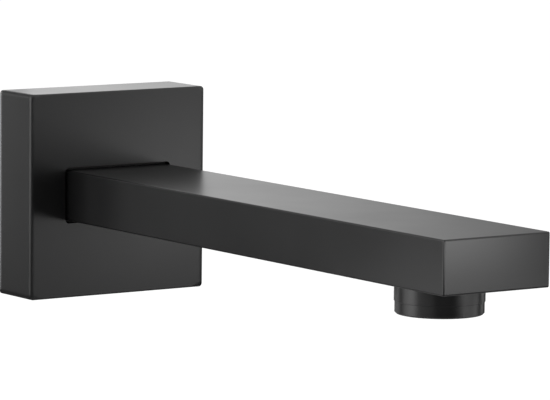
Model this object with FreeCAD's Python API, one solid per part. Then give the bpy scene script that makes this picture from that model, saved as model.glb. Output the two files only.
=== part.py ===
import FreeCAD, Part
import math
import os

# Bath spout for a wall: a flat rectangular arm on a deep square wall plate.
# Sizes are in millimetres. X runs to the right, Y runs into the wall and Z up.
# The origin is where the inlet's axis meets the face of the wall, so the plate's
# back lies at Y = 0 and the arm reaches out of the wall along -Y.

# Arm, one casting with its outlet boss
ARM_REACH = 200.0           # face of the wall to the arm's tip
ARM_WIDTH = 34.8
ARM_HEIGHT = 14.8
ARM_WALL = 2.0              # walls round the water channel
ARM_TIP_WALL = 2.5
ARM_EDGE = 0.5              # radius of the outer edges
CHANNEL_RADIUS = 1.5        # corners of the water channel
BORE_WALL = 1.4             # metal above and below the spigot's bore

# Outlet boss under the arm
OUTLET_INSET = 24.7         # from the arm's tip back to the outlet's axis
BOSS_DIAMETER = 24.3
BOSS_DROP = 5.2             # below the arm's underside
BOSS_WALL = 1.1
BOSS_CHAMFER = 0.1
SHOULDER_THICKNESS = 1.5    # metal above the outlet's washer

# Wall plate, a shell that is open at the back
PLATE_SIDE = 60.0
PLATE_DEPTH = 17.4
PLATE_FRONT_WALL = 2.2
PLATE_SIDE_WALL = 2.6
PLATE_CORNER = 1.1          # radius of the four corner edges
PLATE_RIM = 0.4             # radius of the edges round the front face
PLATE_HOLLOW_RADIUS = 2.0
OPENING_GAP = 0.8           # open gap round the arm in the front face

# Rubber frame that grips the arm, in a collar behind the plate's opening
SEAL_DEPTH = 2.6
SEAL_BITE = 1.2             # how far it reaches into the collar
COLLAR_WALL = 1.6
COLLAR_LIP = 0.3            # the collar stands this far past the seal

# Foam gasket in the plate's back rim
GASKET_THICKNESS = 3.0
GASKET_WIDTH = 3.4
GASKET_REBATE = 1.3         # how deep it sits in the plate's side walls

# Threaded nipple that joins the arm to the pipe in the wall
THREAD_DIAMETER = 20.955    # half-inch pipe thread
THREAD_LENGTH = 15.0        # past the face of the wall
THREAD_CHAMFER = 1.0
THREAD_RELIEF = 1.2         # depth of the undercut between thread and hexagon
THREAD_WALL = 3.4
COLLAR_LEDGE = 1.5          # the hexagon's flats stand this far outside the thread
HEXAGON_THICKNESS = 4.5
HEXAGON_CHAMFER = 1.2
WALL_WASHER_THICKNESS = 1.5
WASHER_GAP = 0.15           # from a washer's hole to what passes through it
SPIGOT_LENGTH = 20.0        # past the hexagon
SPIGOT_CHAMFER = 0.8
SPIGOT_CLEARANCE = 0.05     # between the spigot and its bore, on the radius
SPIGOT_END_GAP = 1.0        # from the spigot's end to the water channel
ARM_SEAT = 0.2              # from the hexagon to the arm's rear face
WATERWAY_WALL = 0.9         # metal under the ring grooves
WATERWAY_TAPER = 4.0        # length of the cone between the two bores

# Sealing rings on the spigot
RING_SECTION = 1.25         # as squeezed between groove and bore
RING_WIDTH = 1.9
RING_BULGE = 0.5            # how far each side stands past the flats
RING_SIDE_GAP = 0.1         # each side of a ring in its groove
RING_INSET = 3.5            # from the spigot's end to the first ring's middle
RING_PITCH = 5.5

# Grub screw that holds the arm on the spigot
SCREW_DIAMETER = 4.0
SCREW_CLEARANCE = 0.05
SCREW_INSET = 3.8           # from the arm's rear face to the screw's axis
SCREW_RECESS = 1.0          # below the arm's side face
SCREW_SOCKET = 2.0          # across the flats of the key's socket
SCREW_SOCKET_DEPTH = 2.0
SCREW_GROOVE = 1.0          # depth of the groove that takes its point
SCREW_POINT_GAP = 0.1

# Aerator housing, screwed into the boss
AERATOR_RIM_INSET = 0.2     # the rim lies this far inside the boss, on the radius
AERATOR_RIM_HEIGHT = 3.3
AERATOR_RIM_CHAMFER = 0.4
AERATOR_SEAT = 0.02         # from the boss to the rim
AERATOR_THREAD_LENGTH = 5.2
AERATOR_THREAD_CHAMFER = 0.5
AERATOR_CLEARANCE = 0.1     # between the threads, on the radius
AERATOR_WALL = 1.15
AERATOR_LIP = 1.1           # how far the lip reaches inwards under the stack
AERATOR_LIP_THICKNESS = 0.8
AERATOR_WASHER_THICKNESS = 1.6
AERATOR_WASHER_LAP = 0.8    # how far the washer reaches inside the housing's bore

# Stack inside the aerator, from the outlet upwards
STACK_CLEARANCE = 0.1       # between the stack and the housing's bore
STACK_RING = 1.2            # width of the solid ring round each layer
GRID_THICKNESS = 2.2
GRID_CELL = 1.4             # across the flats of a cell
GRID_WEB = 0.3
MESH_THICKNESS = 0.4
MESH_HOLE = 1.5
MESH_WIRE = 0.7
SPACER_THICKNESS = 1.0
MIXER_HUB = 5.0
MIXER_FIN = 0.9
MIXER_FINS = 8
JET_PLATE_THICKNESS = 1.2
JET_HOLE = 1.1
JET_HOLES = 12
JET_INSET = 2.0             # from the inside of the ring to the holes' centres
STRAINER_FLANGE = 0.6
STRAINER_HEIGHT = 3.6
STRAINER_WALL = 0.8
STRAINER_BEVEL = 1.2        # where the wall turns into the top
STRAINER_GAP = 0.4          # from the strainer to the hole in the arm's floor
STRAINER_SLOTS = 12
STRAINER_SLOT = 0.7
STRAINER_EYE = 3.0          # radius of the closed middle of its top

# Places along Y that follow from the sizes
SEAL_FRONT_Y = -(PLATE_DEPTH - PLATE_FRONT_WALL)
SEAL_BACK_Y = SEAL_FRONT_Y + SEAL_DEPTH
HEXAGON_BACK_Y = -WALL_WASHER_THICKNESS
HEXAGON_FRONT_Y = HEXAGON_BACK_Y - HEXAGON_THICKNESS
ARM_REAR_Y = HEXAGON_FRONT_Y - ARM_SEAT
SCREW_Y = ARM_REAR_Y - SCREW_INSET
SPIGOT_END_Y = HEXAGON_FRONT_Y - SPIGOT_LENGTH
CHANNEL_REAR_Y = SPIGOT_END_Y - SPIGOT_END_GAP
FRONT_RING_Y = SPIGOT_END_Y + RING_INSET
REAR_RING_Y = FRONT_RING_Y + RING_PITCH

# Radii about the inlet's axis
ARM_BORE_RADIUS = ARM_HEIGHT / 2 - BORE_WALL
SPIGOT_RADIUS = ARM_BORE_RADIUS - SPIGOT_CLEARANCE
RING_FLOOR_RADIUS = ARM_BORE_RADIUS - RING_SECTION
WATERWAY_RADIUS = RING_FLOOR_RADIUS - WATERWAY_WALL
THREAD_RADIUS = THREAD_DIAMETER / 2
INLET_RADIUS = THREAD_RADIUS - THREAD_WALL
HEXAGON_FLATS = THREAD_DIAMETER + 2 * COLLAR_LEDGE

# The outlet's place and heights, from the arm's tip and underside
OUTLET_CENTRE = FreeCAD.Vector(0, OUTLET_INSET - ARM_REACH, 0)
ARM_BOTTOM_Z = -ARM_HEIGHT / 2
CHANNEL_FLOOR_Z = ARM_BOTTOM_Z + ARM_WALL
BOSS_BOTTOM_Z = ARM_BOTTOM_Z - BOSS_DROP
RIM_TOP_Z = BOSS_BOTTOM_Z - AERATOR_SEAT
RIM_BOTTOM_Z = RIM_TOP_Z - AERATOR_RIM_HEIGHT
HOUSING_TOP_Z = RIM_TOP_Z + AERATOR_THREAD_LENGTH
SHOULDER_Z = HOUSING_TOP_Z + AERATOR_WASHER_THICKNESS
PAD_TOP_Z = SHOULDER_Z + SHOULDER_THICKNESS
GRID_BOTTOM_Z = RIM_BOTTOM_Z + AERATOR_LIP_THICKNESS
LOWER_MESH_Z = GRID_BOTTOM_Z + GRID_THICKNESS
SPACER_Z = LOWER_MESH_Z + MESH_THICKNESS
UPPER_MESH_Z = SPACER_Z + SPACER_THICKNESS
MIXER_Z = UPPER_MESH_Z + MESH_THICKNESS
JET_PLATE_Z = HOUSING_TOP_Z - JET_PLATE_THICKNESS

# Radii about the outlet's axis
BOSS_RADIUS = BOSS_DIAMETER / 2
BOSS_BORE_RADIUS = BOSS_RADIUS - BOSS_WALL
RIM_RADIUS = BOSS_RADIUS - AERATOR_RIM_INSET
HOUSING_RADIUS = BOSS_BORE_RADIUS - AERATOR_CLEARANCE
HOUSING_BORE_RADIUS = HOUSING_RADIUS - AERATOR_WALL
LIP_RADIUS = HOUSING_BORE_RADIUS - AERATOR_LIP
STACK_RADIUS = HOUSING_BORE_RADIUS - STACK_CLEARANCE
STACK_OPEN_RADIUS = STACK_RADIUS - STACK_RING
WASHER_HOLE_RADIUS = HOUSING_BORE_RADIUS - AERATOR_WASHER_LAP
FLANGE_RADIUS = WASHER_HOLE_RADIUS - WASHER_GAP
STRAINER_RADIUS = FLANGE_RADIUS - AERATOR_WASHER_LAP
FLOOR_HOLE_RADIUS = STRAINER_RADIUS + STRAINER_GAP

TOLERANCE = 1e-4
ALONG_X = FreeCAD.Vector(1, 0, 0)
ALONG_Y = FreeCAD.Vector(0, 1, 0)
ALONG_Z = FreeCAD.Vector(0, 0, 1)


def square_bar(width, height, y_front, y_back):
    """Bar along Y, centred on the inlet's axis."""
    corner = FreeCAD.Vector(-width / 2, y_front, -height / 2)
    return Part.makeBox(width, y_back - y_front, height, corner)


def same(a, b):
    """True where two lengths agree."""
    return abs(a - b) < TOLERANCE


def edges_along_y(shape):
    """Straight edges that run along Y."""
    return [edge for edge in shape.Edges if same(edge.BoundBox.YLength, edge.Length)]


def edges_at_y(shape, y):
    """Edges that lie flat in the plane at the given Y."""
    boxes = [(edge, edge.BoundBox) for edge in shape.Edges]
    return [edge for edge, box in boxes if same(box.YMin, y) and same(box.YMax, y)]


def edges_at_z(shape, z):
    """Edges that lie flat in the plane at the given Z."""
    boxes = [(edge, edge.BoundBox) for edge in shape.Edges]
    return [edge for edge, box in boxes if same(box.ZMin, z) and same(box.ZMax, z)]


def rounded_bar(width, height, radius, y_front, y_back):
    """Bar along Y with round corners to its section."""
    bar = square_bar(width, height, y_front, y_back)
    return bar.makeFillet(radius, edges_along_y(bar))


def turned_on_inlet(outline):
    """Solid turned about the inlet's axis from (radius, y) points."""
    points = [FreeCAD.Vector(radius, y, 0) for radius, y in outline]
    face = Part.Face(Part.makePolygon(points + points[:1]))
    return face.revolve(FreeCAD.Vector(), ALONG_Y, 360)


def turned_on_outlet(outline):
    """Solid turned about the outlet's axis from (radius, z) points."""
    points = [OUTLET_CENTRE + FreeCAD.Vector(radius, 0, z) for radius, z in outline]
    face = Part.Face(Part.makePolygon(points + points[:1]))
    return face.revolve(OUTLET_CENTRE, ALONG_Z, 360)


def outlet_disc(radius, z_low, z_high):
    """Disc about the outlet's axis."""
    base = OUTLET_CENTRE + FreeCAD.Vector(0, 0, z_low)
    return Part.makeCylinder(radius, z_high - z_low, base, ALONG_Z)


def outlet_ring(outer, inner, z_low, z_high):
    """Flat ring about the outlet's axis."""
    return outlet_disc(outer, z_low, z_high).cut(outlet_disc(inner, z_low, z_high))


def prism(sides, flats, base, direction, length):
    """Bar with a regular section of the given width across its flats."""
    turn = FreeCAD.Rotation(ALONG_Z, direction)
    reach = flats / 2 / math.cos(math.pi / sides)
    corners = []
    for number in range(sides):
        angle = 2 * math.pi * (number + 0.5) / sides
        corner = FreeCAD.Vector(reach * math.cos(angle), reach * math.sin(angle), 0)
        corners.append(base + turn.multVec(corner))
    return Part.Face(Part.makePolygon(corners + corners[:1])).extrude(direction * length)


def spout_arm():
    """Hollow arm with a solid rear block, a spigot bore and the outlet boss."""
    arm = square_bar(ARM_WIDTH, ARM_HEIGHT, -ARM_REACH, ARM_REAR_Y)
    arm = arm.makeFillet(ARM_EDGE, edges_along_y(arm) + edges_at_y(arm, -ARM_REACH))
    arm = arm.cut(water_channel())
    pad = outlet_disc(BOSS_RADIUS, CHANNEL_FLOOR_Z - ARM_WALL / 2, PAD_TOP_Z)
    arm = arm.fuse([outlet_boss(), pad])
    arm = arm.cut([outlet_bore(), spigot_bore(), screw_hole()])
    return arm.removeSplitter()


def water_channel():
    """Space between the spigot's bore and the arm's tip."""
    width = ARM_WIDTH - 2 * ARM_WALL
    height = ARM_HEIGHT - 2 * ARM_WALL
    return rounded_bar(width, height, CHANNEL_RADIUS, ARM_TIP_WALL - ARM_REACH, CHANNEL_REAR_Y)


def outlet_boss():
    """Round boss under the arm, with its lower edge broken."""
    boss = outlet_disc(BOSS_RADIUS, BOSS_BOTTOM_Z, CHANNEL_FLOOR_Z - ARM_WALL / 2)
    return boss.makeChamfer(BOSS_CHAMFER, edges_at_z(boss, BOSS_BOTTOM_Z))


def outlet_bore():
    """Threaded bore up to its shoulder, and the hole through the arm's floor."""
    thread = outlet_disc(BOSS_BORE_RADIUS, BOSS_BOTTOM_Z, SHOULDER_Z)
    floor_hole = outlet_disc(FLOOR_HOLE_RADIUS, SHOULDER_Z, PAD_TOP_Z)
    return thread.fuse(floor_hole)


def spigot_bore():
    """Bore for the spigot, with a lead-in cone, that runs into the water channel."""
    mouth = ARM_BORE_RADIUS + SPIGOT_CHAMFER / 2
    return turned_on_inlet([
        (0, ARM_REAR_Y),
        (mouth, ARM_REAR_Y),
        (ARM_BORE_RADIUS, ARM_REAR_Y - SPIGOT_CHAMFER),
        (ARM_BORE_RADIUS, CHANNEL_REAR_Y),
        (0, CHANNEL_REAR_Y)])


def screw_hole():
    """Tapped hole for the grub screw, from the arm's side into its bore."""
    radius = SCREW_DIAMETER / 2 + SCREW_CLEARANCE
    return Part.makeCylinder(radius, ARM_WIDTH / 2, FreeCAD.Vector(0, SCREW_Y, 0), ALONG_X)


def wall_plate():
    """Deep square shell with a collar behind the opening for the arm."""
    plate = rounded_bar(PLATE_SIDE, PLATE_SIDE, PLATE_CORNER, -PLATE_DEPTH, 0)
    plate = plate.makeFillet(PLATE_RIM, edges_at_y(plate, -PLATE_DEPTH))
    hollow_side = PLATE_SIDE - 2 * PLATE_SIDE_WALL
    hollow = rounded_bar(hollow_side, hollow_side, PLATE_HOLLOW_RADIUS, SEAL_FRONT_Y, 0)
    seal_gap = OPENING_GAP + SEAL_BITE
    collar = round_the_arm(seal_gap + COLLAR_WALL, SEAL_FRONT_Y, SEAL_BACK_Y + COLLAR_LIP)
    seal_pocket = round_the_arm(seal_gap, SEAL_FRONT_Y, 0)
    opening = round_the_arm(OPENING_GAP, -PLATE_DEPTH, 0)
    plate = plate.cut([hollow, gasket_outer()])
    return plate.fuse(collar).cut([seal_pocket, opening]).removeSplitter()


def round_the_arm(gap, y_front, y_back):
    """Bar that stands off the arm by the gap on every side."""
    width = ARM_WIDTH + 2 * gap
    height = ARM_HEIGHT + 2 * gap
    return rounded_bar(width, height, ARM_EDGE + gap, y_front, y_back)


def plate_seal():
    """Rubber frame between the plate's collar and the arm."""
    frame = round_the_arm(OPENING_GAP + SEAL_BITE, SEAL_FRONT_Y, SEAL_BACK_Y)
    return frame.cut(round_the_arm(0, SEAL_FRONT_Y, SEAL_BACK_Y))


def gasket_outer():
    """Square block that fills the rebate in the plate's back rim."""
    side = PLATE_SIDE - 2 * (PLATE_SIDE_WALL - GASKET_REBATE)
    return rounded_bar(side, side, PLATE_HOLLOW_RADIUS, -GASKET_THICKNESS, 0)


def wall_gasket():
    """Foam frame in the plate's back rim, flush with the wall."""
    outer = gasket_outer()
    side = outer.BoundBox.XLength - 2 * GASKET_WIDTH
    return outer.cut(rounded_bar(side, side, PLATE_HOLLOW_RADIUS, -GASKET_THICKNESS, 0))


def wall_nipple():
    """Threaded end, hexagon and grooved spigot, with a bore right through."""
    barrel = turned_on_inlet([
        (0, THREAD_LENGTH),
        (THREAD_RADIUS - THREAD_CHAMFER, THREAD_LENGTH),
        (THREAD_RADIUS, THREAD_LENGTH - THREAD_CHAMFER),
        (THREAD_RADIUS, 0),
        (THREAD_RADIUS - THREAD_RELIEF, 0),
        (THREAD_RADIUS - THREAD_RELIEF, HEXAGON_BACK_Y),
        (SPIGOT_RADIUS, HEXAGON_BACK_Y),
        (SPIGOT_RADIUS, SPIGOT_END_Y + SPIGOT_CHAMFER),
        (SPIGOT_RADIUS - SPIGOT_CHAMFER, SPIGOT_END_Y),
        (0, SPIGOT_END_Y)])
    grooves = [ring_groove(FRONT_RING_Y), ring_groove(REAR_RING_Y), screw_groove()]
    return barrel.fuse(hexagon()).cut(grooves + [waterway()]).removeSplitter()


def hexagon():
    """Six-sided collar with its corners turned off at the front."""
    base = FreeCAD.Vector(0, HEXAGON_FRONT_Y, 0)
    nut = prism(6, HEXAGON_FLATS, base, ALONG_Y, HEXAGON_THICKNESS)
    corner = HEXAGON_FLATS / 2 / math.cos(math.pi / 6)
    turned = turned_on_inlet([
        (0, HEXAGON_FRONT_Y),
        (corner - HEXAGON_CHAMFER, HEXAGON_FRONT_Y),
        (corner, HEXAGON_FRONT_Y + HEXAGON_CHAMFER / 2),
        (corner, HEXAGON_BACK_Y),
        (0, HEXAGON_BACK_Y)])
    return nut.common(turned)


def ring_groove(middle_y):
    """Square groove for a sealing ring."""
    half = RING_WIDTH / 2 + RING_SIDE_GAP
    outer = ARM_BORE_RADIUS
    return turned_on_inlet([
        (RING_FLOOR_RADIUS, middle_y - half),
        (outer, middle_y - half),
        (outer, middle_y + half),
        (RING_FLOOR_RADIUS, middle_y + half)])


def screw_groove():
    """Vee groove that takes the grub screw's point."""
    return turned_on_inlet([
        (SPIGOT_RADIUS - SCREW_GROOVE, SCREW_Y),
        (SPIGOT_RADIUS, SCREW_Y - SCREW_GROOVE),
        (SPIGOT_RADIUS, SCREW_Y + SCREW_GROOVE)])


def waterway():
    """Wide bore in the thread, a cone, and the spigot's narrower bore."""
    return turned_on_inlet([
        (0, THREAD_LENGTH),
        (INLET_RADIUS, THREAD_LENGTH),
        (INLET_RADIUS, HEXAGON_BACK_Y + WATERWAY_TAPER),
        (WATERWAY_RADIUS, HEXAGON_BACK_Y),
        (WATERWAY_RADIUS, SPIGOT_END_Y),
        (0, SPIGOT_END_Y)])


def wall_washer():
    """Flat washer between the hexagon and the fitting in the wall."""
    hole = THREAD_RADIUS + WASHER_GAP
    return turned_on_inlet([
        (hole, HEXAGON_BACK_Y),
        (HEXAGON_FLATS / 2, HEXAGON_BACK_Y),
        (HEXAGON_FLATS / 2, 0),
        (hole, 0)])


def spigot_o_ring(middle_y):
    """Sealing ring, squeezed flat where it meets its groove and the bore."""
    half = RING_WIDTH / 2
    flat = half - RING_BULGE
    middle_radius = (RING_FLOOR_RADIUS + ARM_BORE_RADIUS) / 2
    return turned_on_inlet([
        (RING_FLOOR_RADIUS, middle_y - flat),
        (middle_radius, middle_y - half),
        (ARM_BORE_RADIUS, middle_y - flat),
        (ARM_BORE_RADIUS, middle_y + flat),
        (middle_radius, middle_y + half),
        (RING_FLOOR_RADIUS, middle_y + flat)])


def arm_grub_screw():
    """Headless screw with a key's socket and a cone point."""
    radius = SCREW_DIAMETER / 2
    point_x = SPIGOT_RADIUS - SCREW_GROOVE + SCREW_POINT_GAP
    head_x = ARM_WIDTH / 2 - SCREW_RECESS
    outline = [
        FreeCAD.Vector(point_x, SCREW_Y, 0),
        FreeCAD.Vector(point_x + radius, SCREW_Y + radius, 0),
        FreeCAD.Vector(head_x, SCREW_Y + radius, 0),
        FreeCAD.Vector(head_x, SCREW_Y, 0)]
    face = Part.Face(Part.makePolygon(outline + outline[:1]))
    screw = face.revolve(outline[0], ALONG_X, 360)
    socket_floor = FreeCAD.Vector(head_x - SCREW_SOCKET_DEPTH, SCREW_Y, 0)
    return screw.cut(prism(6, SCREW_SOCKET, socket_floor, ALONG_X, SCREW_SOCKET_DEPTH))


def aerator_housing():
    """Threaded cup with a plain rim and an inner lip that holds the stack."""
    return turned_on_outlet([
        (LIP_RADIUS, RIM_BOTTOM_Z),
        (RIM_RADIUS - AERATOR_RIM_CHAMFER, RIM_BOTTOM_Z),
        (RIM_RADIUS, RIM_BOTTOM_Z + AERATOR_RIM_CHAMFER),
        (RIM_RADIUS, RIM_TOP_Z),
        (HOUSING_RADIUS, RIM_TOP_Z),
        (HOUSING_RADIUS, HOUSING_TOP_Z - AERATOR_THREAD_CHAMFER),
        (HOUSING_RADIUS - AERATOR_THREAD_CHAMFER, HOUSING_TOP_Z),
        (HOUSING_BORE_RADIUS, HOUSING_TOP_Z),
        (HOUSING_BORE_RADIUS, GRID_BOTTOM_Z),
        (LIP_RADIUS, GRID_BOTTOM_Z)])


def aerator_washer():
    """Flat washer between the housing and the shoulder in the boss."""
    return outlet_ring(HOUSING_RADIUS, WASHER_HOLE_RADIUS, HOUSING_TOP_Z, SHOULDER_Z)


def outlet_grid():
    """Honeycomb that straightens the jet, in a solid ring."""
    grid = outlet_disc(STACK_RADIUS, GRID_BOTTOM_Z, LOWER_MESH_Z)
    pitch = GRID_CELL + GRID_WEB
    row_pitch = pitch * math.sqrt(3) / 2
    reach = LIP_RADIUS - GRID_CELL / math.sqrt(3)
    rows = int(reach / row_pitch)
    cells = []
    for row in range(-rows, rows + 1):
        shift = pitch / 2 * (row % 2)
        columns = int(reach / pitch) + 1
        for column in range(-columns, columns + 1):
            centre = FreeCAD.Vector(column * pitch + shift, row * row_pitch, 0)
            if centre.Length < reach:
                base = OUTLET_CENTRE + centre + FreeCAD.Vector(0, 0, GRID_BOTTOM_Z)
                cells.append(honeycomb_cell(base))
    return grid.cut(cells)


def honeycomb_cell(base):
    """Six-sided hole with flats towards its neighbours on either side."""
    return prism(6, GRID_CELL, base, ALONG_Z, GRID_THICKNESS)


def mesh_disc(z_low):
    """Disc of square holes, a coarse form of the woven steel mesh."""
    mesh = outlet_disc(STACK_RADIUS, z_low, z_low + MESH_THICKNESS)
    pitch = MESH_HOLE + MESH_WIRE
    reach = STACK_OPEN_RADIUS - MESH_HOLE / math.sqrt(2)
    count = int(reach / pitch) + 1
    holes = []
    for column in range(-count, count + 1):
        for row in range(-count, count + 1):
            centre = FreeCAD.Vector(column * pitch, row * pitch, 0)
            if centre.Length < reach:
                base = OUTLET_CENTRE + centre + FreeCAD.Vector(0, 0, z_low)
                holes.append(prism(4, MESH_HOLE, base, ALONG_Z, MESH_THICKNESS))
    return mesh.cut(holes)


def mesh_spacer():
    """Plain ring that keeps the two meshes apart."""
    return outlet_ring(STACK_RADIUS, STACK_OPEN_RADIUS, SPACER_Z, UPPER_MESH_Z)


def mixing_body():
    """Ring and hub joined by fins, where the jets draw in air."""
    ring = outlet_ring(STACK_RADIUS, STACK_OPEN_RADIUS, MIXER_Z, JET_PLATE_Z)
    hub = outlet_disc(MIXER_HUB / 2, MIXER_Z, JET_PLATE_Z)
    height = JET_PLATE_Z - MIXER_Z
    fins = []
    for number in range(MIXER_FINS):
        corner = OUTLET_CENTRE + FreeCAD.Vector(0, -MIXER_FIN / 2, MIXER_Z)
        fin = Part.makeBox(STACK_RADIUS - STACK_RING / 2, MIXER_FIN, height, corner)
        fin.rotate(OUTLET_CENTRE, ALONG_Z, 360 * number / MIXER_FINS)
        fins.append(fin)
    return ring.fuse([hub] + fins).removeSplitter()


def jet_plate():
    """Disc with a ring of fine holes that break the water into jets."""
    plate = outlet_disc(STACK_RADIUS, JET_PLATE_Z, HOUSING_TOP_Z)
    holes = []
    for number in range(JET_HOLES):
        angle = 2 * math.pi * number / JET_HOLES
        reach = STACK_OPEN_RADIUS - JET_INSET
        centre = FreeCAD.Vector(reach * math.cos(angle), reach * math.sin(angle), JET_PLATE_Z)
        base = OUTLET_CENTRE + centre
        holes.append(Part.makeCylinder(JET_HOLE / 2, JET_PLATE_THICKNESS, base, ALONG_Z))
    return plate.cut(holes)


def inlet_strainer():
    """Slotted cap that keeps grit out of the jets."""
    inner = STRAINER_RADIUS - STRAINER_WALL
    top = HOUSING_TOP_Z + STRAINER_HEIGHT
    flange_top = HOUSING_TOP_Z + STRAINER_FLANGE
    cap = turned_on_outlet([
        (0, top),
        (STRAINER_RADIUS - STRAINER_BEVEL, top),
        (STRAINER_RADIUS, top - STRAINER_BEVEL),
        (STRAINER_RADIUS, flange_top),
        (FLANGE_RADIUS, flange_top),
        (FLANGE_RADIUS, HOUSING_TOP_Z),
        (inner, HOUSING_TOP_Z),
        (inner, top - STRAINER_BEVEL),
        (inner - STRAINER_BEVEL + STRAINER_WALL, top - STRAINER_WALL),
        (0, top - STRAINER_WALL)])
    slots = []
    for number in range(STRAINER_SLOTS):
        corner = OUTLET_CENTRE + FreeCAD.Vector(STRAINER_EYE, -STRAINER_SLOT / 2, flange_top)
        slot = Part.makeBox(FLANGE_RADIUS - STRAINER_EYE, STRAINER_SLOT, STRAINER_HEIGHT, corner)
        slot.rotate(OUTLET_CENTRE, ALONG_Z, 360 * number / STRAINER_SLOTS)
        slots.append(slot)
    return cap.cut(slots)


def main():
    pieces = {
        "spout_arm": spout_arm(),
        "wall_plate": wall_plate(),
        "plate_seal": plate_seal(),
        "wall_gasket": wall_gasket(),
        "wall_nipple": wall_nipple(),
        "wall_washer": wall_washer(),
        "spigot_o_ring_rear": spigot_o_ring(REAR_RING_Y),
        "spigot_o_ring_front": spigot_o_ring(FRONT_RING_Y),
        "arm_grub_screw": arm_grub_screw(),
        "aerator_housing": aerator_housing(),
        "aerator_washer": aerator_washer(),
        "inlet_strainer": inlet_strainer(),
        "jet_plate": jet_plate(),
        "mixing_body": mixing_body(),
        "upper_mesh": mesh_disc(UPPER_MESH_Z),
        "mesh_spacer": mesh_spacer(),
        "lower_mesh": mesh_disc(LOWER_MESH_Z),
        "outlet_grid": outlet_grid()}
    os.makedirs("parts", exist_ok=True)
    for name, shape in pieces.items():
        shape.exportStep("parts/" + name + ".step")


main()
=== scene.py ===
import math

import bpy
from mathutils import Matrix, Vector


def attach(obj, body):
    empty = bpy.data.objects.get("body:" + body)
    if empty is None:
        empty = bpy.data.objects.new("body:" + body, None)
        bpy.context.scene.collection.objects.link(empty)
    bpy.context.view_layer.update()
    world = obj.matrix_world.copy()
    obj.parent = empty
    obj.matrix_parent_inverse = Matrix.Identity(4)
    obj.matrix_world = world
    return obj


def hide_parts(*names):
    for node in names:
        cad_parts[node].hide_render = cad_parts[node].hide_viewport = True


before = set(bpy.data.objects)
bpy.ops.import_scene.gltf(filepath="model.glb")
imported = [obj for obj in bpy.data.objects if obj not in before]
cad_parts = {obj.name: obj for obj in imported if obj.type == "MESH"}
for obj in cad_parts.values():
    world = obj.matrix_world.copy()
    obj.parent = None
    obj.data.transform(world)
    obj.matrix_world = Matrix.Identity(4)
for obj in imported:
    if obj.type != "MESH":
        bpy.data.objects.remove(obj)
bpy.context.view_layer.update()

MM = 0.001
FULL_TURN = 2 * math.pi

# Camera, worked out from the edges of the spout in the photograph
CAMERA_PLACE = Vector((-688.83, -1093.34, 150.61)) * MM
CAMERA_YAW = math.radians(34.695)       # to the right of the arm's own line
CAMERA_PITCH = math.radians(6.808)      # downwards
CAMERA_ROLL = math.radians(-0.605)
SENSOR_WIDTH = 36.0
LENS = 286.69
CLIP_START = 0.05
CLIP_END = 60

# Surroundings, with lengths in metres
FLOOR_Z = -0.11
FLOOR_SIDE = 30.0
FLOOR_COLOUR = 0.5
FLOOR_GLOW = 0.62                       # only where the floor is seen, directly or in a reflection
SKY_LIGHT = 0.8                         # strength of the world on matt surfaces
CARD_LIFT = 0.001                       # from the floor to the lowest card, and from card to card
CARD_Z = FLOOR_Z + CARD_LIFT
SET_LEFT = -0.6                         # the large cards end here
SET_FRONT = -0.7
SET_BACK = 0.5

# Noise, as the range that its values mostly keep to
NOISE_LOW = 0.3
NOISE_HIGH = 0.7

# Softening of the plate's upright outer edges, in metres
PLATE_EDGE_SOFTNESS = 0.0018
SOFTENING_START_X = 0.026               # from the middle of the plate
SOFTENING_FULL_X = 0.028

# Angles between faces that stay sharp, in degrees
TURNED_SHARP_ANGLE = 38
WIRE_SHARP_ANGLE = 60

# Threads, as the share of half a pitch that is flat in the root, and as much again on the crest
THREAD_FLAT = 0.12

# Threaded nipple, along Y, in millimetres
THREAD_END = 14.999
THREAD_RADIUS = 10.4775
THREAD_PITCH = 1.814
THREAD_DEPTH = 1.162
THREAD_CHAMFER = 1.0
THREAD_ROWS_PER_PITCH = 24
RELIEF_RADIUS = 9.2775
NUT_BACK = -1.5
NUT_FRONT = -6.0
NUT_HALF_FLATS = 11.9775
NUT_CORNER_CHAMFER = 1.2
NUT_CHAMFER_SLOPE = 2
NUT_CHAMFER_ROWS = 5
SPIGOT_RADIUS = 5.95
SPIGOT_END = -26.0
SPIGOT_CHAMFER = 0.8
SCREW_GROOVE_Y = -10.0
SCREW_GROOVE_DEPTH = 1.0
RING_GROOVES_Y = (-17.0, -22.5)
RING_GROOVE_RADIUS = 4.75
RING_GROOVE_WIDTH = 2.1
BORE_RADIUS = 3.85
INLET_RADIUS = 7.0775
TAPER_END = 2.5
NIPPLE_COLUMNS = 96

# Grub screw, along X, in millimetres
SCREW_POINT_X = 5.05
SCREW_HEAD_X = 16.4
SCREW_RADIUS = 2.0
SCREW_PITCH = 0.7
SCREW_THREAD_DEPTH = 0.43
SCREW_HEAD_CHAMFER = 0.35
SCREW_SOCKET_HALF_FLATS = 1.0
SCREW_SOCKET_LEAD_RADIUS = 1.25
SCREW_SOCKET_LEAD_DEPTH = 0.15
SCREW_SOCKET_DEPTH = 2.0
SCREW_SOCKET_CONE_DEPTH = 0.5
SCREW_ROWS_PER_PITCH = 14
SCREW_COLUMNS = 48

# Woven discs in the aerator, in millimetres
OUTLET_Y = -175.3
UPPER_DISC_Z = -11.32
LOWER_DISC_Z = -12.72
DISC_RADIUS = 9.6
WEAVE_PITCH = 0.8
WIRE_RADIUS = 0.095
WIRE_SIDES = 6


def node_tree(owner):
    """Empty node tree of a material or a world."""
    owner.use_nodes = True
    owner.node_tree.nodes.clear()
    return owner.node_tree


def add(tree, kind, **settings):
    """New node, with its properties or its inputs set by name."""
    node = tree.nodes.new(kind)
    for name, value in settings.items():
        if hasattr(node, name):
            setattr(node, name, value)
        else:
            node.inputs[name.replace("_", " ")].default_value = value
    return node


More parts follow.
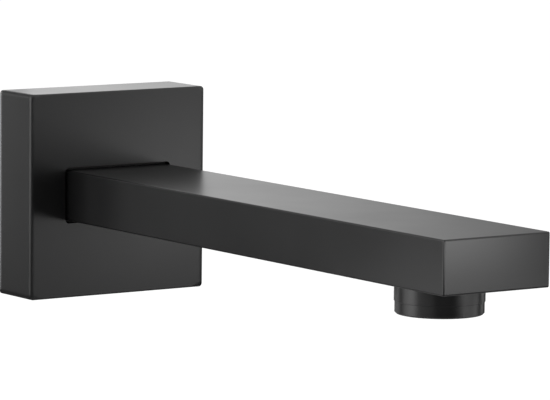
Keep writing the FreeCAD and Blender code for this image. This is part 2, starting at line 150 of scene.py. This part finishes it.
def math_node(tree, operation, first, second=None):
    """Result of a sum on links or plain numbers."""
    node = add(tree, "ShaderNodeMath", operation=operation)
    for socket, value in zip(node.inputs, (first, second)):
        if isinstance(value, (int, float)):
            socket.default_value = value
        elif value is not None:
            tree.links.new(value, socket)
    return node.outputs[0]


def place_of(tree):
    """Coordinates fixed to the piece, in metres."""
    return add(tree, "ShaderNodeTexCoord").outputs["Object"]


def noise(tree, scale, detail=3.0, stretch=(1, 1, 1), place=None):
    """Noise with so many features to a metre."""
    mapping = add(tree, "ShaderNodeMapping")
    mapping.inputs["Scale"].default_value = stretch
    texture = add(tree, "ShaderNodeTexNoise", Scale=scale, Detail=detail)
    tree.links.new(place or place_of(tree), mapping.inputs["Vector"])
    tree.links.new(mapping.outputs["Vector"], texture.inputs["Vector"])
    return texture.outputs["Fac"]


def turned_place(tree):
    """Distance from the inlet's axis and place along it, for marks left by turning."""
    parts = add(tree, "ShaderNodeSeparateXYZ")
    tree.links.new(place_of(tree), parts.inputs[0])
    squares = [math_node(tree, "MULTIPLY", parts.outputs[n], parts.outputs[n]) for n in (0, 2)]
    radius = math_node(tree, "SQRT", math_node(tree, "ADD", *squares))
    joined = add(tree, "ShaderNodeCombineXYZ")
    tree.links.new(radius, joined.inputs[0])
    tree.links.new(parts.outputs[1], joined.inputs[1])
    return joined.outputs[0]


def cells(tree, scale):
    """Distance from the middle of the nearest cell."""
    texture = add(tree, "ShaderNodeTexVoronoi", Scale=scale)
    tree.links.new(place_of(tree), texture.inputs["Vector"])
    return texture.outputs["Distance"]


def spread(tree, value, low, high, from_low=NOISE_LOW, from_high=NOISE_HIGH):
    """Spreads a value, such as a noise, over the range from low to high."""
    node = add(tree, "ShaderNodeMapRange")
    for name, number in (("From Min", from_low), ("From Max", from_high), ("To Min", low), ("To Max", high)):
        node.inputs[name].default_value = number
    tree.links.new(value, node.inputs["Value"])
    return node.outputs["Result"]


def blend_colours(tree, value, first, second):
    """Colour between two, by a noise."""
    ramp = add(tree, "ShaderNodeValToRGB")
    ramp.color_ramp.elements[0].position = NOISE_LOW
    ramp.color_ramp.elements[1].position = NOISE_HIGH
    ramp.color_ramp.elements[0].color = (*first, 1)
    ramp.color_ramp.elements[1].color = (*second, 1)
    tree.links.new(value, ramp.inputs["Fac"])
    return ramp.outputs["Color"]


def bump(tree, value, height, normal=None):
    """Relief of the given height in metres."""
    node = add(tree, "ShaderNodeBump", Strength=1.0, Distance=height)
    tree.links.new(value, node.inputs["Height"])
    if normal is not None:
        tree.links.new(normal, node.inputs["Normal"])
    return node.outputs["Normal"]


def surface(name, metallic=0.0, ior=1.5):
    """Material with a shader joined to its output."""
    material = bpy.data.materials.new(name)
    tree = node_tree(material)
    output = add(tree, "ShaderNodeOutputMaterial")
    shader = add(tree, "ShaderNodeBsdfPrincipled", Metallic=metallic, IOR=ior)
    tree.links.new(shader.outputs["BSDF"], output.inputs["Surface"])
    return material, tree, shader.inputs


def join(tree, inputs, colour, roughness, normal):
    """Joins the three parts of a look to its shader."""
    for name, part in (("Base Color", colour), ("Roughness", roughness), ("Normal", normal)):
        tree.links.new(part, inputs[name])


def satin_black(name, edge_softness=0.0):
    """Even black coat with a soft gloss and a very fine grain, and softened edges at its sides if asked."""
    material, tree, inputs = surface(name)
    broad = noise(tree, 45, detail=2.0)
    grain = noise(tree, 1400, detail=2.0)
    colour = blend_colours(tree, broad, (0.0044, 0.0044, 0.0046), (0.0056, 0.0056, 0.0058))
    # Below 0.274 the denoiser takes a coat for a mirror, so the whole range stays above that
    roughness = spread(tree, broad, 0.278, 0.302)
    normal = None
    if edge_softness:
        parts = add(tree, "ShaderNodeSeparateXYZ")
        tree.links.new(place_of(tree), parts.inputs[0])
        to_side = math_node(tree, "ABSOLUTE", parts.outputs[0])
        edges = add(tree, "ShaderNodeBevel", samples=8)
        radius = spread(tree, to_side, 0, edge_softness, SOFTENING_START_X, SOFTENING_FULL_X)
        tree.links.new(radius, edges.inputs["Radius"])
        normal = edges.outputs["Normal"]
    join(tree, inputs, colour, roughness, bump(tree, grain, 0.000002, normal))
    return material


def turned_brass():
    """Plain brass with fine rings left by the lathe and slight tarnish."""
    material, tree, inputs = surface("turned_brass", metallic=1.0)
    rings = noise(tree, 5200, detail=2.0, place=turned_place(tree))
    tarnish = noise(tree, 160, detail=4.0)
    colour = blend_colours(tree, tarnish, (0.66, 0.45, 0.20), (0.83, 0.63, 0.33))
    uneven = math_node(tree, "ADD", rings, spread(tree, tarnish, -0.15, 0.15))
    roughness = spread(tree, uneven, 0.2, 0.42)
    join(tree, inputs, colour, roughness, bump(tree, rings, 0.000004))
    return material


def moulded_rubber(name, dark, light, grain_height):
    """Matt rubber with a fine skin."""
    material, tree, inputs = surface(name)
    skin = noise(tree, 900, detail=4.0)
    colour = blend_colours(tree, noise(tree, 220), dark, light)
    roughness = spread(tree, skin, 0.55, 0.75)
    join(tree, inputs, colour, roughness, bump(tree, skin, grain_height))
    return material


def gasket_foam():
    """Closed-cell foam: small round cells under a dull skin, each darker towards its middle as painted shade
    in its pit.
    """
    material, tree, inputs = surface("gasket_foam", ior=1.45)
    small = cells(tree, 1500)
    # Painted shade: the colour darkens towards the middle of each cell, where the bump below makes a pit
    painted_pit_shade = spread(tree, small, 0, 1, from_low=0, from_high=0.6)
    colour = blend_colours(tree, painted_pit_shade, (0.045, 0.045, 0.048), (0.105, 0.105, 0.11))
    roughness = spread(tree, noise(tree, 700), 0.8, 0.95)
    pitted = bump(tree, small, 0.00012)
    uneven = bump(tree, noise(tree, 250, detail=4.0), 0.00015, pitted)
    join(tree, inputs, colour, roughness, uneven)
    return material


def moulded_plastic(name, dark, light):
    """Acetal with a slight flow pattern and a soft sheen."""
    material, tree, inputs = surface(name, ior=1.48)
    flow = noise(tree, 130, stretch=(1, 1, 0.3))
    fine = noise(tree, 2600, detail=2.0)
    colour = blend_colours(tree, flow, dark, light)
    roughness = spread(tree, flow, 0.34, 0.46)
    join(tree, inputs, colour, roughness, bump(tree, fine, 0.000006))
    return material


def drawn_steel(name, stretch):
    """Stainless steel with fine lines along one direction."""
    material, tree, inputs = surface(name, metallic=1.0)
    lines = noise(tree, 3000, stretch=stretch)
    colour = blend_colours(tree, noise(tree, 400), (0.50, 0.50, 0.51), (0.63, 0.63, 0.62))
    roughness = spread(tree, lines, 0.22, 0.4)
    join(tree, inputs, colour, roughness, bump(tree, lines, 0.000005))
    return material


def paint(material, *names):
    """Gives CAD nodes a material."""
    for name in names:
        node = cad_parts[name]
        node.data.materials.clear()
        node.data.materials.append(material)


def new_piece(name, points, faces, material, sharp_angle):
    """Smooth shaded mesh, from points in millimetres."""
    mesh = bpy.data.meshes.new(name)
    mesh.from_pydata([Vector(point) * MM for point in points], [], faces)
    mesh.materials.append(material)
    mesh.shade_smooth()
    mesh.set_sharp_from_angle(angle=math.radians(sharp_angle))
    piece = bpy.data.objects.new(name, mesh)
    bpy.context.scene.collection.objects.link(piece)
    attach(piece, "root")
    return piece


def thread_height(angle, along, pitch):
    """From 0 in the root to 1 on the crest of a rounded right-handed vee thread."""
    phase = (along / pitch - angle / FULL_TURN) % 1.0
    flank = min(max((abs(2 * phase - 1) - THREAD_FLAT) / (1 - 2 * THREAD_FLAT), 0.0), 1.0)
    return 0.5 - 0.5 * math.cos(math.pi * flank)


def hexagon_radius(angle, half_flats):
    """Reach of a six-sided outline."""
    from_flat = (angle + math.pi / 6) % (math.pi / 3) - math.pi / 6
    return half_flats / math.cos(from_flat)


def pipe_thread(angle, y):
    """Half-inch pipe thread with its end chamfered."""
    thread = THREAD_RADIUS - THREAD_DEPTH * (1 - thread_height(angle, y, THREAD_PITCH))
    return min(thread, THREAD_RADIUS - THREAD_CHAMFER + THREAD_END - y)


def nut(angle, y):
    """Six-sided collar with its front corners turned off."""
    corner = NUT_HALF_FLATS / math.cos(math.pi / 6)
    chamfer = corner - NUT_CORNER_CHAMFER + NUT_CHAMFER_SLOPE * (y - NUT_FRONT)
    return min(hexagon_radius(angle, NUT_HALF_FLATS), chamfer)


def screw_thread(angle, x):
    """Grub screw's thread between its cone point and its chamfered head."""
    thread = SCREW_RADIUS - SCREW_THREAD_DEPTH * (1 - thread_height(angle, x, SCREW_PITCH))
    return min(thread, x - SCREW_POINT_X, SCREW_RADIUS - SCREW_HEAD_CHAMFER + SCREW_HEAD_X - x)


def screw_socket(angle, _):
    """Six-sided socket for the key, the same all along."""
    return hexagon_radius(angle, SCREW_SOCKET_HALF_FLATS)


def nipple_rows():
    """Rows round the nipple, through the bore to the wall end and back over the outside."""
    rows = []
    count = round(THREAD_END / THREAD_PITCH * THREAD_ROWS_PER_PITCH)
    for step in range(count + 1):
        rows.append((THREAD_END * (1 - step / count), pipe_thread))
    rows += [(0.0, RELIEF_RADIUS), (NUT_BACK, RELIEF_RADIUS), (NUT_BACK, nut)]
    for part in range(NUT_CHAMFER_ROWS):
        still_to_go = 1 - part / (NUT_CHAMFER_ROWS - 1)
        rows.append((NUT_FRONT + NUT_CORNER_CHAMFER / NUT_CHAMFER_SLOPE * still_to_go, nut))
    rows += [(NUT_FRONT, SPIGOT_RADIUS),
             (SCREW_GROOVE_Y + SCREW_GROOVE_DEPTH, SPIGOT_RADIUS),
             (SCREW_GROOVE_Y, SPIGOT_RADIUS - SCREW_GROOVE_DEPTH),
             (SCREW_GROOVE_Y - SCREW_GROOVE_DEPTH, SPIGOT_RADIUS)]
    for middle in RING_GROOVES_Y:
        high, low = middle + RING_GROOVE_WIDTH / 2, middle - RING_GROOVE_WIDTH / 2
        rows += [(high, SPIGOT_RADIUS),
                 (high, RING_GROOVE_RADIUS),
                 (low, RING_GROOVE_RADIUS),
                 (low, SPIGOT_RADIUS)]
    rows += [(SPIGOT_END + SPIGOT_CHAMFER, SPIGOT_RADIUS),
             (SPIGOT_END, SPIGOT_RADIUS - SPIGOT_CHAMFER),
             (SPIGOT_END, BORE_RADIUS),
             (NUT_BACK, BORE_RADIUS),
             (TAPER_END, INLET_RADIUS),
             (THREAD_END, INLET_RADIUS)]
    return rows[::-1]


def screw_rows():
    """Rows round the grub screw, from its point over the thread to the socket's floor."""
    length = SCREW_HEAD_X - SCREW_POINT_X
    count = round(length / SCREW_PITCH * SCREW_ROWS_PER_PITCH)
    rows = [(SCREW_POINT_X, 0)]
    for step in range(1, count + 1):
        rows.append((SCREW_POINT_X + length * step / count, screw_thread))
    rows += [(SCREW_HEAD_X, SCREW_SOCKET_LEAD_RADIUS),
             (SCREW_HEAD_X - SCREW_SOCKET_LEAD_DEPTH, screw_socket),
             (SCREW_HEAD_X - SCREW_SOCKET_DEPTH, screw_socket),
             (SCREW_HEAD_X - SCREW_SOCKET_DEPTH - SCREW_SOCKET_CONE_DEPTH, 0)]
    return rows


def turned_form(rows, columns, place, closed):
    """Points and faces of rows round an axis, where a row with no radius is one point."""
    points, faces, starts = [], [], []
    for along, radius in rows:
        starts.append(len(points))
        for column in range(columns if radius else 1):
            angle = FULL_TURN * column / columns
            reach = radius(angle, along) if callable(radius) else radius
            points.append(place(along, reach * math.cos(angle), reach * math.sin(angle)))

    def corner(row, column):
        return starts[row] + (column % columns if rows[row][1] else 0)

    for row in range(len(rows) if closed else len(rows) - 1):
        following = (row + 1) % len(rows)
        for column in range(columns):
            face = [corner(row, column), corner(row, column + 1),
                    corner(following, column + 1), corner(following, column)]
            faces.append(tuple(dict.fromkeys(face)))
    return points, faces


def wall_nipple(material):
    """Nipple with its real thread, as one closed turned form."""
    points, faces = turned_form(
        nipple_rows(), NIPPLE_COLUMNS, lambda y, across, up: (across, y, -up), closed=True)
    piece = new_piece("threaded_nipple", points, faces, material, TURNED_SHARP_ANGLE)
    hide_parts("wall_nipple")


def grub_screw(material):
    """Grub screw with its real thread and its socket."""
    points, faces = turned_form(
        screw_rows(), SCREW_COLUMNS, lambda x, across, up: (x, SCREW_GROOVE_Y + across, up), closed=False)
    piece = new_piece("threaded_grub_screw", points, faces, material, TURNED_SHARP_ANGLE)
    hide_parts("arm_grub_screw")


def wire(points, faces, line, side):
    """Adds one round wire along a line of points. Its side is the level way across it."""
    start = len(points)
    for x, y, z in line:
        for corner in range(WIRE_SIDES):
            angle = FULL_TURN * corner / WIRE_SIDES
            across, up = WIRE_RADIUS * math.cos(angle), WIRE_RADIUS * math.sin(angle)
            points.append((x + across * side[0], y + across * side[1], z + up))
    for link in range(len(line) - 1):
        here, there = start + link * WIRE_SIDES, start + (link + 1) * WIRE_SIDES
        for corner in range(WIRE_SIDES):
            beside = (corner + 1) % WIRE_SIDES
            faces.append((here + corner, here + beside, there + beside, there + corner))
    end = len(points) - WIRE_SIDES
    faces.append(tuple(range(start, start + WIRE_SIDES))[::-1])
    faces.append(tuple(range(end, end + WIRE_SIDES)))


def woven_disc(name, node, middle_z, material):
    """Disc of woven wire: each wire goes over one and under the next."""
    points, faces = [], []
    count = int(DISC_RADIUS / WEAVE_PITCH)
    for number in range(-count, count + 1):
        offset = number * WEAVE_PITCH
        half = math.sqrt(DISC_RADIUS ** 2 - offset ** 2)
        steps = int(half / (WEAVE_PITCH / 2))
        marks = [step * WEAVE_PITCH / 2 for step in range(-steps, steps + 1)]
        marks = [-half] + marks + [half]
        for along_x in (True, False):
            line = []
            for mark in marks:
                wave = WIRE_RADIUS * math.cos(math.pi * (mark / WEAVE_PITCH + number))
                if along_x:
                    line.append((mark, OUTLET_Y + offset, middle_z + wave))
                else:
                    line.append((offset, OUTLET_Y + mark, middle_z - wave))
            wire(points, faces, line, (0, 1) if along_x else (-1, 0))
    piece = new_piece(name, points, faces, material, WIRE_SHARP_ANGLE)
    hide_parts(node)


def make_camera():
    """Camera at the photograph's own place and angle."""
    right = Vector((math.cos(CAMERA_YAW), -math.sin(CAMERA_YAW), 0))
    forward = Vector((
        math.sin(CAMERA_YAW) * math.cos(CAMERA_PITCH),
        math.cos(CAMERA_YAW) * math.cos(CAMERA_PITCH),
        -math.sin(CAMERA_PITCH)))
    down = forward.cross(right)
    turned_right = math.cos(CAMERA_ROLL) * right + math.sin(CAMERA_ROLL) * down
    turned_down = math.cos(CAMERA_ROLL) * down - math.sin(CAMERA_ROLL) * right
    data = bpy.data.cameras.new("camera")
    data.sensor_fit = "HORIZONTAL"
    data.sensor_width = SENSOR_WIDTH
    data.lens = LENS
    data.clip_start = CLIP_START
    data.clip_end = CLIP_END
    camera = bpy.data.objects.new("camera", data)
    bpy.context.scene.collection.objects.link(camera)
    turn = Matrix((turned_right, -turned_down, -forward)).transposed()
    camera.matrix_world = Matrix.Translation(CAMERA_PLACE) @ turn.to_4x4()
    bpy.context.scene.camera = camera


def shows_background(tree):
    """1 for the rays that show the background: camera, glossy and transmission."""
    path = add(tree, "ShaderNodeLightPath")
    direct = math_node(tree, "MAXIMUM", path.outputs["Is Camera Ray"], path.outputs["Is Glossy Ray"])
    return math_node(tree, "MAXIMUM", direct, path.outputs["Is Transmission Ray"])


def make_world():
    """White where it is seen, and a plain soft light elsewhere."""
    world = bpy.data.worlds.new("surroundings")
    bpy.context.scene.world = world
    tree = node_tree(world)
    output = add(tree, "ShaderNodeOutputWorld")
    light = add(tree, "ShaderNodeBackground")
    light.inputs["Color"].default_value = (1, 1, 1, 1)
    strength = spread(tree, shows_background(tree), SKY_LIGHT, 1.0, from_low=0, from_high=1)
    tree.links.new(strength, light.inputs["Strength"])
    tree.links.new(light.outputs["Background"], output.inputs["Surface"])


def lying(x_low, y_low, x_high, y_high, z):
    """Corners of a level sheet."""
    return [(x_low, y_low, z), (x_high, y_low, z), (x_high, y_high, z), (x_low, y_high, z)]


def upright(x_low, x_high, y, z_low, z_high):
    """Corners of an upright sheet along X."""
    return [(x_low, y, z_low), (x_high, y, z_low), (x_high, y, z_high), (x_low, y, z_high)]


def flat_card(name, corners):
    """Flat four-cornered sheet of the studio, with an empty material."""
    mesh = bpy.data.meshes.new(name)
    mesh.from_pydata(corners, [], [(0, 1, 2, 3)])
    card = bpy.data.objects.new(name, mesh)
    bpy.context.scene.collection.objects.link(card)
    material = bpy.data.materials.new(name)
    node_tree(material)
    mesh.materials.append(material)
    return card


def make_floor():
    """Wide pale floor that keeps the shadow, and can be seen through from below."""
    half = FLOOR_SIDE / 2
    floor = flat_card("floor", lying(-half, -half, half, half, FLOOR_Z))
    tree = floor.data.materials[0].node_tree
    output = add(tree, "ShaderNodeOutputMaterial")
    matt = add(tree, "ShaderNodeBsdfDiffuse")
    matt.inputs["Color"].default_value = (FLOOR_COLOUR, FLOOR_COLOUR, FLOOR_COLOUR, 1)
    glow = add(tree, "ShaderNodeEmission")
    strength = math_node(tree, "MULTIPLY", shows_background(tree), FLOOR_GLOW)
    tree.links.new(strength, glow.inputs["Strength"])
    both = add(tree, "ShaderNodeAddShader")
    tree.links.new(matt.outputs["BSDF"], both.inputs[0])
    tree.links.new(glow.outputs["Emission"], both.inputs[1])
    from_below = math_node(tree, "MULTIPLY", add(tree, "ShaderNodeNewGeometry").outputs["Backfacing"],
                           add(tree, "ShaderNodeLightPath").outputs["Is Camera Ray"])
    choice = add(tree, "ShaderNodeMixShader")
    tree.links.new(from_below, choice.inputs["Fac"])
    tree.links.new(both.outputs["Shader"], choice.inputs[1])
    tree.links.new(add(tree, "ShaderNodeBsdfTransparent").outputs["BSDF"], choice.inputs[2])
    tree.links.new(choice.outputs["Shader"], output.inputs["Surface"])


def reflected_card(name, corners, level, last_level=None, fade_x=(0.0, 1.0)):
    """Card seen only in glossy reflections, which may fade to a last level between two places along X."""
    card = flat_card(name, corners)
    tree = card.data.materials[0].node_tree
    output = add(tree, "ShaderNodeOutputMaterial")
    glow = add(tree, "ShaderNodeEmission", Strength=level)
    if last_level is not None:
        parts = add(tree, "ShaderNodeSeparateXYZ")
        tree.links.new(place_of(tree), parts.inputs[0])
        strength = spread(tree, parts.outputs[0], level, last_level, *fade_x)
        tree.links.new(strength, glow.inputs["Strength"])
    tree.links.new(glow.outputs["Emission"], output.inputs["Surface"])
    card.visible_camera = False
    card.visible_diffuse = False
    card.visible_transmission = False
    card.visible_shadow = False


def make_cards():
    """Cards of several levels round the set, which draw the shape of the black coat."""
    low, over, top = CARD_Z, CARD_Z + CARD_LIFT, CARD_Z + 2 * CARD_LIFT
    reflected_card("card_floor", lying(SET_LEFT, SET_FRONT, 1.3, SET_BACK, low), 0.01)
    reflected_card("card_floor_left", lying(SET_LEFT, -0.1, 0, SET_BACK, over), 0.12)
    reflected_card("card_floor_middle", lying(-0.12, -0.3, 0.12, 0.02, top), 0.4)
    reflected_card("card_behind_camera", upright(SET_LEFT, 0.2, SET_FRONT, low, 0.6), 0.08)
    reflected_card("card_back_left", upright(SET_LEFT, -0.28, SET_BACK, low, 0.15), 0.01,
                   last_level=0.5, fade_x=(-0.38, -0.28))
    reflected_card("card_back_high", upright(-0.4, 0.2, SET_BACK, 0.2, 0.9), 0.31)
    reflected_card("card_right", upright(0.04, 0.6, 0.1, 0, 0.25), 1.5,
                   last_level=0, fade_x=(0.04, 0.32))
    reflected_card("card_front_right", upright(0.056, 0.142, -0.25, -0.014, 0.06), 0.45)


def softbox(name, place, aim, width, height, level):
    """Area lamp of the given brightness, which doesn't depend on its size and isn't seen by the camera."""
    data = bpy.data.lights.new(name, "AREA")
    data.shape = "RECTANGLE"
    data.size, data.size_y = width, height
    data.energy = level * math.pi * width * height
    lamp = bpy.data.objects.new(name, data)
    bpy.context.scene.collection.objects.link(lamp)
    lamp.location = place
    lamp.rotation_euler = (Vector(aim) - Vector(place)).to_track_quat("-Z", "Y").to_euler()
    lamp.visible_camera = False


def make_lamps():
    """Two large softboxes on the left, one on the right, one behind, and small fill lamps close by."""
    softbox("softbox_left_near", (-0.61, 0.05, 0.25), (0, 0.05, 0.25), 0.3, 0.7, 3.1)
    softbox("softbox_left_far", (-0.61, 0.35, 0.25), (0, 0.35, 0.25), 0.3, 0.7, 1.6)
    softbox("softbox_right", (0.6, -0.62, 0.2), (0, -0.15, 0), 0.25, 0.6, 1)
    softbox("softbox_back", (-0.1, 0.51, 0.03), (-0.1, 0, 0.03), 0.2, 0.25, 1)
    softbox("fill_tip_left", (0.028, -0.3, -0.003), (-0.0175, -0.2, 0), 0.03, 0.03, 2.8)
    softbox("fill_tip_right", (0.055, -0.295, 0.002), (-0.0175, -0.2, 0), 0.03, 0.03, 5.4)
    softbox("fill_tip_edge", (-0.028, -0.23, 0.001), (-0.017, -0.2, 0), 0.03, 0.014, 3.4)
    softbox("fill_outlet_left", (-0.1, -0.115, -0.03), (-0.01, -0.175, -0.014), 0.08, 0.03, 0.6)
    softbox("fill_outlet_right", (0.087, -0.3, -0.036), (0, -0.187, -0.014), 0.07, 0.022, 1.2)
    softbox("fill_plate_low", (0.162, -0.2534, -0.052), (0, -0.017, -0.02), 0.08, 0.045, 1.3)
    softbox("fill_plate_middle", (0.122, -0.16, -0.015), (0.02, -0.017, 0.008), 0.04, 0.035, 1.6)


black_coat = satin_black("satin_black")
brass = turned_brass()
white_plastic = moulded_plastic("white_acetal", (0.74, 0.74, 0.71), (0.82, 0.82, 0.80))
black_plastic = moulded_plastic("black_acetal", (0.030, 0.030, 0.032), (0.055, 0.055, 0.058))
wire_steel = drawn_steel("wire_steel", (1, 1, 1))
screw_steel = drawn_steel("screw_steel", (0.15, 1, 1))

paint(black_coat, "spout_arm", "aerator_housing")
paint(satin_black("satin_black_plate", PLATE_EDGE_SOFTNESS), "wall_plate")
paint(moulded_rubber("seal_rubber", (0.014, 0.014, 0.014), (0.026, 0.026, 0.026), 0.00001),
      "plate_seal", "spigot_o_ring_rear", "spigot_o_ring_front", "aerator_washer")
paint(moulded_rubber("washer_rubber", (0.035, 0.035, 0.038), (0.065, 0.065, 0.07), 0.00004), "wall_washer")
paint(gasket_foam(), "wall_gasket")
paint(brass, "wall_nipple")
paint(screw_steel, "arm_grub_screw")
paint(white_plastic, "inlet_strainer", "jet_plate", "mixing_body", "mesh_spacer")
paint(wire_steel, "upper_mesh", "lower_mesh")
paint(black_plastic, "outlet_grid")

wall_nipple(brass)
grub_screw(screw_steel)
woven_disc("woven_disc_upper", "upper_mesh", UPPER_DISC_Z, wire_steel)
woven_disc("woven_disc_lower", "lower_mesh", LOWER_DISC_Z, wire_steel)

make_camera()
make_world()
make_floor()
make_cards()
make_lamps()
bpy.context.scene.view_settings.view_transform = "Standard"
